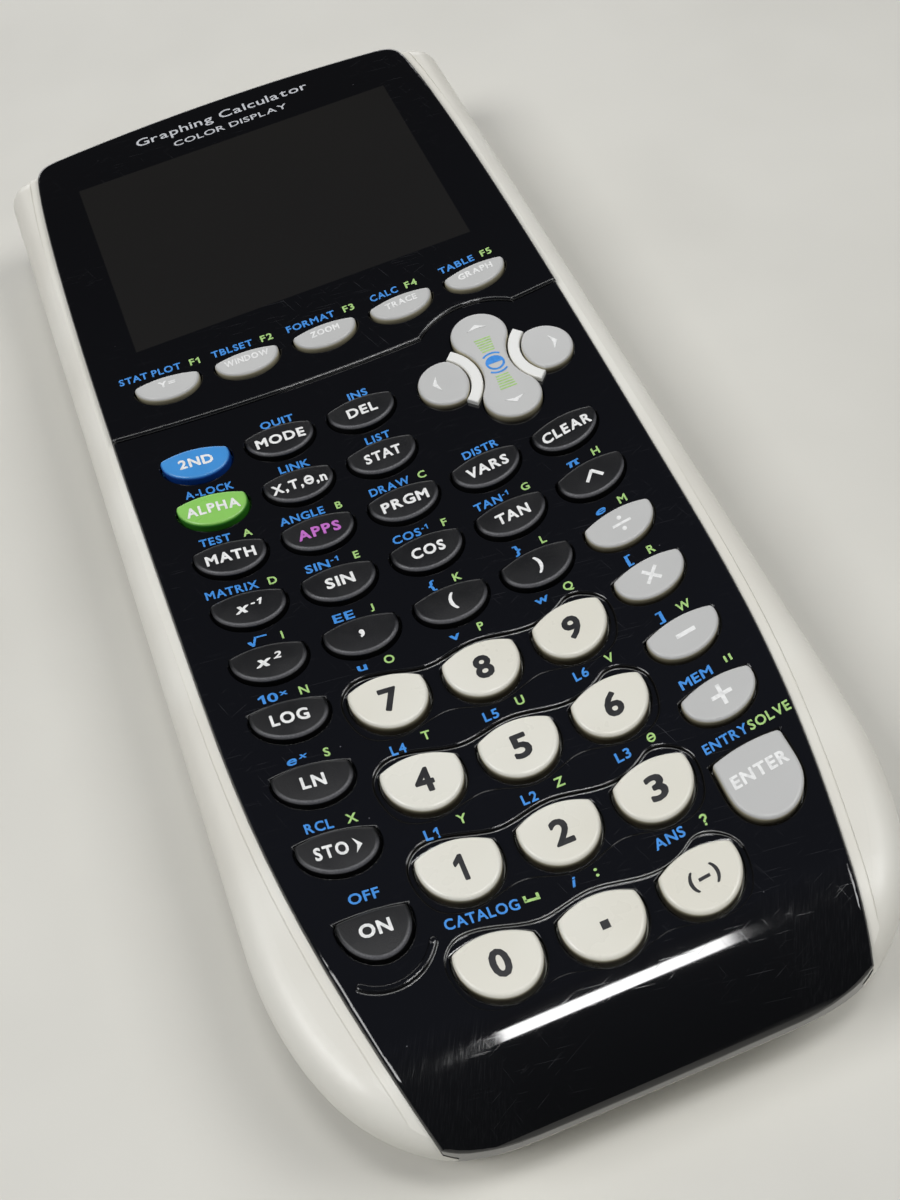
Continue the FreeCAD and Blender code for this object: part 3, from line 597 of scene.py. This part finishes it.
def lettering(text, height, width=None, slant=0.0, bold=HEAVY):
    """Text with capitals this high, centred on their middle. A figure after ^ is raised."""
    shapes, reach, before, raised = [], 0.0, "", False
    for letter in text:
        if letter == "^":
            raised = True
            continue
        if letter == " ":
            reach += SPACE
            continue
        if shapes:
            reach += LETTER_GAP - TIGHT_PAIRS.get(before + letter, 0.0)
        scale = RAISED_SCALE if raised else 1.0
        shape = moved(glyph(letter, bold, slant), reach, RAISED_BY if raised else 0.0, scale, scale)
        shapes.append(shape)
        reach = extent(shape[0])[1]
        before = letter
    shape = joined(shapes)
    left, right, _, _ = extent(shape[0])
    sx = (width / (right - left)) if width else height
    return moved(shape, -(left + right) / 2 * sx, -height / 2, sx, height)


def symbol(text, height, width=None, slant=0.0, bold=HEAVY):
    """A sign this high, centred on its own outline."""
    shape = glyph(text, bold, slant)
    left, right, bottom, top = extent(shape[0])
    sy = height / (top - bottom)
    sx = (width / (right - left)) if width else sy
    return moved(shape, -(left + right) / 2 * sx, -(bottom + top) / 2 * sy, sx, sy)


def polygon(*points):
    """A flat outline, given anticlockwise, as a shape of triangles."""
    work = bmesh.new()
    face = work.faces.new([work.verts.new((x, y, 0)) for x, y in points])
    face.normal_update()
    bmesh.ops.triangulate(work, faces=[face])
    work.verts.ensure_lookup_table()
    flat = [(p.co.x, p.co.y) for p in work.verts]
    faces = [tuple(v.index for v in f.verts) for f in work.faces]
    work.free()
    return flat, faces


def bar(length, thickness):
    """A level bar around its own centre."""
    half, thick = length / 2, thickness / 2
    return polygon((-half, -thick), (half, -thick), (half, thick), (-half, thick))


def turned_shape(shape, degrees):
    """The shape, turned anticlockwise."""
    c, s = math.cos(math.radians(degrees)), math.sin(math.radians(degrees))
    return [(x * c - y * s, x * s + y * c) for x, y in shape[0]], shape[1]


def disc(radius, start=0, end=360, hole=0.0, steps=36):
    """A disc, a part of one, or a ring."""
    count = max(3, int(steps * (end - start) / 360))
    angles = [math.radians(start + (end - start) * i / count) for i in range(count + 1)]
    outer = [(radius * math.cos(a), radius * math.sin(a)) for a in angles]
    inner = [(hole * math.cos(a), hole * math.sin(a)) for a in angles]
    points = outer + inner
    first = count + 1
    faces = [(i, i + 1, first + i + 1, first + i) for i in range(count)]
    return points, faces


class Surface:
    """The top of some CAD nodes, as the height at each place."""

    def __init__(self, *names):
        graph = bpy.context.evaluated_depsgraph_get()
        self.trees = [BVHTree.FromObject(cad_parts[n], graph) for n in names]

    def height(self, x, y):
        """Height in metres over this place, or None beside the nodes."""
        best = None
        for tree in self.trees:
            hit = tree.ray_cast(Vector((x, y, PROBE_TOP)), Vector((0, 0, -1)))[0]
            if hit is not None and (best is None or hit.z > best):
                best = hit.z
        return best


def printed(name, placed, surface, body, colour, above=INK_ABOVE, cuts=0):
    """One piece of print. Placed is a list of (shape, x, y, slope), in millimetres."""
    work = bmesh.new()
    for shape, x, y, slope in placed:
        middle = surface.height(x * MM, y * MM)
        corners = []
        for px, py in shape[0]:
            corners.append(work.verts.new(((x + px) * MM, (y + py + slope * px) * MM, middle or 0)))
        for face in shape[1]:
            try:
                work.faces.new([corners[i] for i in face])
            except ValueError:
                continue
    bmesh.ops.remove_doubles(work, verts=work.verts, dist=0.002 * MM)
    bmesh.ops.dissolve_degenerate(work, edges=work.edges, dist=0.001 * MM)
    loose = [v for v in work.verts if not v.link_faces]
    bmesh.ops.delete(work, geom=loose, context="VERTS")
    if cuts:
        bmesh.ops.subdivide_edges(work, edges=work.edges, cuts=cuts, use_grid_fill=True)
        bmesh.ops.triangulate(work, faces=work.faces)
    bmesh.ops.recalc_face_normals(work, faces=work.faces)
    if sum(f.normal.z for f in work.faces) < 0:
        bmesh.ops.reverse_faces(work, faces=work.faces)
    for point in work.verts:
        z = surface.height(point.co.x, point.co.y)
        if z is not None and abs(z - point.co.z) < 1.2 * MM:
            point.co.z = z
    top = bmesh.ops.extrude_face_region(work, geom=list(work.faces))["geom"]
    lifted = {v for v in top if isinstance(v, bmesh.types.BMVert)}
    for point in work.verts:
        point.co.z += above * MM if point in lifted else -INK_BELOW * MM
    bmesh.ops.recalc_face_normals(work, faces=work.faces)
    mesh = bpy.data.meshes.new(name)
    work.to_mesh(mesh)
    work.free()
    mesh.materials.append(INKS[colour])
    piece = bpy.data.objects.new(name, mesh)
    bpy.context.scene.collection.objects.link(piece)
    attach(piece, body)
    return piece


# ---------------------------------------------------------------------------
# The keyboard's legends
# ---------------------------------------------------------------------------

Family = namedtuple("Family", "slope_per_mm rise word legend_rise")
# slope_per_mm: how much a row's legends slope, for each millimetre from the middle
# rise: from a key's centre up to the labels on the face; word: height of the key's own legend
FAMILIES = {
    "function": Family(0.00593, 4.38, 1.75, 0.10),
    "graph": Family(0.00333, 4.40, 1.25, 0.55),
    "digit": Family(0.0087, 6.70, 3.5, 0.05),
    "on": Family(0.0041, 5.45, 1.75, 0.60),
    "enter": Family(0.0051, 7.15, 1.75, 1.1),
}
LABEL = 1.4            # height of the labels on the face

Key = namedtuple("Key", "family word width blue blue_width blue_x green green_x")
KEYS = {
    "y_equals": Key("graph", "Y=", 2.6, "STAT PLOT", 9.8, -2.0, "F1", 5.1),
    "window": Key("graph", "WINDOW", 7.0, "TBLSET", 6.6, -1.5, "F2", 4.1),
    "zoom": Key("graph", "ZOOM", 4.6, "FORMAT", 7.9, -1.3, "F3", 5.0),
    "trace": Key("graph", "TRACE", 5.2, "CALC", 4.6, -1.7, "F4", 2.9),
    "graph": Key("graph", "GRAPH", 5.8, "TABLE", 6.0, -1.9, "F5", 3.3),
    "2nd": Key("function", "2ND", 5.1, "", 0, 0, "", 0),
    "mode": Key("function", "MODE", 7.4, "QUIT", 5.1, 0.5, "", 0),
    "del": Key("function", "DEL", 4.6, "INS", 3.0, 0.5, "", 0),
    "alpha": Key("function", "ALPHA", 7.7, "A-LOCK", 7.0, 0.3, "", 0),
    "variable": Key("function", "X,T,θ,n", 8.0, "LINK", 4.5, 0.3, "", 0),
    "stat": Key("function", "STAT", 5.5, "LIST", 3.8, 0.5, "", 0),
    "math": Key("function", "MATH", 7.0, "TEST", 4.5, -1.3, "A", 3.3),
    "apps": Key("function", "APPS", 6.1, "ANGLE", 6.5, -1.4, "B", 4.0),
    "prgm": Key("function", "PRGM", 6.9, "DRAW", 6.0, -1.0, "C", 3.9),
    "vars": Key("function", "VARS", 6.3, "DISTR", 5.4, 0.4, "", 0),
    "clear": Key("function", "CLEAR", 7.8, "", 0, 0, "", 0),
    "inverse": Key("function", "x^-1", 4.0, "MATRIX", 7.3, -1.5, "D", 4.2),
    "sin": Key("function", "SIN", 4.0, "SIN^-1", 4.8, -1.4, "E", 3.5),
    "cos": Key("function", "COS", 4.8, "COS^-1", 5.3, -1.2, "F", 3.8),
    "tan": Key("function", "TAN", 5.0, "TAN^-1", 5.3, -1.6, "G", 3.6),
    "power": Key("function", "power", 3.0, "π", 1.9, -1.4, "H", 2.3),
    "square": Key("function", "x^2", 3.7, "√", 3.2, -1.2, "I", 2.8),
    "comma": Key("function", ",", 0, "EE", 2.9, -1.4, "J", 2.6),
    "left_paren": Key("function", "(", 0, "{", 1.0, -1.5, "K", 2.1),
    "right_paren": Key("function", ")", 0, "}", 1.0, -1.6, "L", 2.3),
    "divide": Key("function", "divide", 0, "e", 1.6, -1.4, "M", 2.1),
    "log": Key("function", "LOG", 5.0, "10^x", 3.9, -1.2, "N", 2.9),
    "multiply": Key("function", "multiply", 0, "[", 0.9, -1.4, "R", 2.0),
    "ln": Key("function", "LN", 3.1, "e^x", 2.8, -1.0, "S", 2.8),
    "minus": Key("function", "minus", 0, "]", 0.9, -1.6, "W", 1.9),
    "store": Key("function", "store", 5.7, "RCL", 3.5, -1.3, "X", 2.8),
    "plus": Key("function", "plus", 0, "MEM", 4.6, -1.5, "\"", 3.4),
    "7": Key("digit", "7", 0, "u", 1.3, -1.7, "O", 2.0),
    "8": Key("digit", "8", 0, "v", 1.4, -1.6, "P", 2.1),
    "9": Key("digit", "9", 0, "w", 1.9, -1.7, "Q", 2.3),
    "4": Key("digit", "4", 0, "L4", 2.0, -1.4, "T", 2.5),
    "5": Key("digit", "5", 0, "L5", 2.0, -1.65, "U", 2.5),
    "6": Key("digit", "6", 0, "L6", 2.0, -1.65, "V", 2.6),
    "1": Key("digit", "1", 0, "L1", 1.8, -1.6, "Y", 2.5),
    "2": Key("digit", "2", 0, "L2", 2.0, -1.65, "Z", 2.5),
    "3": Key("digit", "3", 0, "L3", 2.0, -1.65, "θ", 2.5),
    "0": Key("digit", "0", 0, "CATALOG", 9.0, 0.2, "space", 6.3),
    "decimal": Key("digit", "decimal", 0, "i", 0.7, -1.1, ":", 1.8),
    "negate": Key("digit", "(-)", 4.0, "ANS", 4.0, -1.3, "?", 3.4),
    "on": Key("on", "ON", 3.9, "OFF", 3.8, 0.0, "", 0),
    "enter": Key("enter", "ENTER", 7.7, "ENTRY", 6.2, -1.5, "SOLVE", 4.8),
}
ITALIC = 0.28


def chevron(length, depth, thick):
    """A pointed arrowhead, tip towards +X, that thins to its two ends."""
    tip, back = depth / 2, -depth / 2
    return polygon((tip, 0), (back, length / 2), (tip - thick, 0), (back, -length / 2))


def key_word(name, key, height):
    """The flat shape printed on one key."""
    if key.word == "power":
        return joined([
            moved(turned_shape(bar(2.0, 0.5), 48), -0.62, 0),
            moved(turned_shape(bar(2.0, 0.5), -48), 0.62, 0),
        ])
    if key.word == "divide":
        return joined([bar(2.8, 0.42), moved(disc(0.33), 0, 0.95), moved(disc(0.33), 0, -0.95)])
    if key.word == "multiply":
        return joined([turned_shape(bar(2.9, 0.5), 45), turned_shape(bar(2.9, 0.5), -45)])
    if key.word == "minus":
        return bar(2.8, 0.6)
    if key.word == "plus":
        return joined([bar(2.9, 0.55), bar(0.55, 2.9)])
    if key.word == "decimal":
        return bar(1.05, 1.05)
    if key.word == "store":
        text = lettering("STO", height, key.width - 1.5)
        return joined([moved(text, -0.85), moved(chevron(2.1, 1.0, 0.62), key.width / 2 - 0.4)])
    if key.word in "()":
        return symbol(key.word, 2.7, 0.95)
    if key.word == ",":
        return symbol(",", 1.2, 0.72)
    if key.word == "(-)":
        return joined([
            moved(symbol("(", 2.6, 0.85), -1.55), moved(symbol(")", 2.6, 0.85), 1.55), bar(1.5, 0.42),
        ])
    slant = ITALIC if name in ("inverse", "square") else 0.0
    if key.family == "digit":
        return symbol(key.word, height, 1.3 if key.word == "1" else 2.45)
    return lettering(key.word, height, key.width or None, slant)


def face_label(text, width):
    """The flat shape of one label on the face."""
    if text == "space":
        end = bar(0.35, 0.7)
        return joined([bar(1.9, 0.35), moved(end, -0.78, 0.35), moved(end, 0.78, 0.35)])
    if text == "√":
        roof = moved(bar(1.5, 0.24), 1.3, LABEL * 0.55 - 0.12)
        return joined([symbol("√", LABEL * 1.1, 1.4, bold=MEDIUM), roof])
    if text == "?":
        hook = moved(disc(0.47, -90, 165, hole=0.2), 0, 0.26)
        return joined([hook, moved(bar(0.27, 0.34), 0, -0.23), moved(bar(0.28, 0.28), 0, -0.66)])
    if text in "{}[]":
        return symbol(text, LABEL * 1.3, width, bold=MEDIUM)
    if text == ":":
        return symbol(text, 1.1, 0.42, bold=MEDIUM)
    if text == "\"":
        return joined([moved(bar(0.3, 0.95), -0.36, 0.2), moved(bar(0.3, 0.95), 0.36, 0.2)])
    slanted = text in ("i", "e", "e^x")
    height = LABEL if len(text) > 1 else LABEL * 0.93
    return lettering(text, height, width or None, 0.25 if slanted else 0.0, MEDIUM)


def slope_at(family, x):
    """Slope of the legends of this family's row, at this place across the case."""
    return FAMILIES[family].slope_per_mm * x


GREEN_WIDTHS = {"SOLVE": 5.9}
LIST_DROP = {"L1": 0.85, "L4": 0.85, "L2": 0.5, "L5": 0.45, "L3": 0.35, "L6": 0.2}
LEGEND_INK = {"apps": "violet"}
face = Surface("front_cover", "display_window")
blue_labels, green_labels = [], []
for name, key in KEYS.items():
    low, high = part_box("key_" + name)
    centre = (low + high) / 2 / MM
    family = FAMILIES[key.family]
    slope = slope_at(key.family, centre.x)
    colour = LEGEND_INK.get(name, "slate" if key.family == "digit" else "white")
    printed(
        "legend_" + name,
        [(key_word(name, key, family.word), centre.x, centre.y + family.legend_rise, slope)],
        Surface("key_" + name),
        "key_" + name,
        colour,
    )
    label_y = centre.y + family.rise
    if key.blue:
        shape = face_label(key.blue, key.blue_width)
        blue_y = label_y + slope * key.blue_x - LIST_DROP.get(key.blue, 0.0)
        blue_labels.append((shape, centre.x + key.blue_x, blue_y, slope))
    if key.green:
        shape = face_label(key.green, GREEN_WIDTHS.get(key.green, 0))
        green_labels.append((shape, centre.x + key.green_x, label_y + slope * key.green_x, slope))
printed("labels_blue", blue_labels, face, "case", "blue")
printed("labels_green", green_labels, face, "case", "green")

# generic wording over the display
window_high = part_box("display_window")[1]
title_y = window_high.y / MM - 4.9
title = [
    (lettering("Graphing Calculator", 2.0, 32.0, bold=LIGHT), 0.0, title_y, 0.0),
    (lettering("COLOR DISPLAY", 1.4, 21.0, bold=LIGHT), 0.6, title_y - 3.6, 0.0),
]
printed("title", title, face, "case", "silver")


# ---------------------------------------------------------------------------
# The arrow pad's signs
# ---------------------------------------------------------------------------

pad_low, pad_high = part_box("rocker_up_down")
pad = (pad_low + pad_high) / 2 / MM
ARROW = chevron(3.0, 1.0, 0.75)
LOBE_ARROW = 9.5       # from the pad's centre, across
ROCKER_ARROW = 8.1     # and along
STRIPE_START = 2.75
STRIPE_PITCH = 0.52
for name, way in (("left", -1), ("right", 1)):
    shape = ARROW if way > 0 else turned_shape(ARROW, 180)
    printed(
        "legend_" + name, [(shape, pad.x + way * LOBE_ARROW, pad.y, 0)], Surface("key_" + name),
        "key_" + name, "white", above=0.06, cuts=2,
    )
rocker = Surface("rocker_up_down")
arrows = [(turned_shape(ARROW, way * 90), pad.x, pad.y + way * ROCKER_ARROW, 0) for way in (1, -1)]
printed("legend_rocker", arrows, rocker, "rocker_up_down", "white", above=0.06, cuts=2)
dial = [
    (disc(1.45, 0, 180), pad.x, pad.y, 0),
    (disc(1.45, 180, 360, 1.1), pad.x, pad.y, 0),
    (disc(2.2, 50, 130, 1.88), pad.x, pad.y, 0),
    (disc(2.2, 230, 310, 1.88), pad.x, pad.y, 0),
]
printed("rocker_dial", dial, rocker, "rocker_up_down", "blue", cuts=1)
stripes = []
for way in (1, -1):
    for row in range(6):
        y = pad.y + way * (STRIPE_START + STRIPE_PITCH * row)
        stripes.append((bar(2.0 + 0.12 * row, 0.25), pad.x, y, 0))
printed("rocker_stripes", stripes, rocker, "rocker_up_down", "green", cuts=1)


# ---------------------------------------------------------------------------
# Floor, light and camera
# ---------------------------------------------------------------------------


def floor():
    """A plain pale floor."""
    mesh = bpy.data.meshes.new("floor")
    work = bmesh.new()
    bmesh.ops.create_grid(work, x_segments=1, y_segments=1, size=3.0)
    work.to_mesh(mesh)
    work.free()
    piece = bpy.data.objects.new("floor", mesh)
    bpy.context.scene.collection.objects.link(piece)
    shade = Shade("floor", linear(214, 212, 204), 0.5)
    cloud = shade.span(shade.noise(60, 3), 0.3, 0.7)
    shade.set("Base Color", shade.blend(cloud, linear(216, 214, 206), linear(210, 208, 200)))
    shade.bump(shade.noise(0.8, 3), 0.01)
    mesh.materials.append(shade.material)
    piece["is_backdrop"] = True


def lamp(name, place, aim, size, power, colour=(1, 1, 1)):
    """A soft rectangular light. Size is (across, along) in metres."""
    data = bpy.data.lights.new(name, "AREA")
    data.shape = "RECTANGLE"
    data.size, data.size_y = size
    data.energy = power
    data.color = colour
    piece = bpy.data.objects.new(name, data)
    piece.location = place
    piece.rotation_mode = "QUATERNION"
    piece.rotation_quaternion = (Vector(aim) - Vector(place)).to_track_quat("-Z", "Y")
    bpy.context.scene.collection.objects.link(piece)


def camera():
    """The camera where the photographer stood, in millimetres of the calculator's frame."""
    place = Vector((-20.0, -137.28, 179.85)) * MM
    back = Vector((-0.10169, -0.56327, 0.81999)).normalized()
    up = Vector((0.36103, 0.74718, 0.55802))
    across = up.cross(back).normalized()
    up = back.cross(across)
    data = bpy.data.cameras.new("camera")
    data.lens = 43.94
    data.sensor_width = 36
    data.clip_start = 0.01
    piece = bpy.data.objects.new("camera", data)
    turn = Matrix((across, up, back)).transposed().to_4x4()
    piece.matrix_world = Matrix.Translation(place) @ turn
    bpy.context.scene.collection.objects.link(piece)
    bpy.context.scene.camera = piece


def sky(shades):
    """Surroundings whose colour changes from the user's side to the far side."""
    world = bpy.data.worlds.new("studio")
    world.use_nodes = True
    tree = world.node_tree
    place = tree.nodes.new("ShaderNodeTexCoord")
    split = tree.nodes.new("ShaderNodeSeparateXYZ")
    tree.links.new(place.outputs["Generated"], split.inputs[0])
    share = tree.nodes.new("ShaderNodeMapRange")
    share.inputs["From Min"].default_value = -1
    tree.links.new(split.outputs["Y"], share.inputs["Value"])
    ramp = tree.nodes.new("ShaderNodeValToRGB")
    tree.links.new(share.outputs["Result"], ramp.inputs["Fac"])
    while len(ramp.color_ramp.elements) < len(shades):
        ramp.color_ramp.elements.new(0.5)
    for element, (towards, colour) in zip(ramp.color_ramp.elements, shades):
        element.position = (towards + 1) / 2
        element.color = (*colour, 1)
    tree.links.new(ramp.outputs["Color"], tree.nodes["Background"].inputs["Color"])
    bpy.context.scene.world = world


floor()
lamp("overhead", (0.104, -0.116, 1.0), (0, -0.116, 0), (0.15, 0.19), 2.0)
lamp("behind", (0.2, 2.5, 0.6), (0, 0, 0), (2.6, 0.6), 15.5)
lamp("left", (-1.1, 0.05, 1.5), (0, 0, 0), (0.8, 0.8), 16.5)
lamp("right", (1.1, -0.3, 1.5), (0, 0, 0), (0.8, 0.8), 13.5)
sky([
    (-1.0, (0.045, 0.048, 0.05)),
    (0.0, (0.07, 0.075, 0.085)),
    (0.45, (0.085, 0.095, 0.13)),
    (0.80, (0.035, 0.036, 0.04)),
    (1.0, (0.06, 0.06, 0.065)),
])
bpy.context.scene.view_settings.view_transform = "Standard"
camera()

low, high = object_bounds()
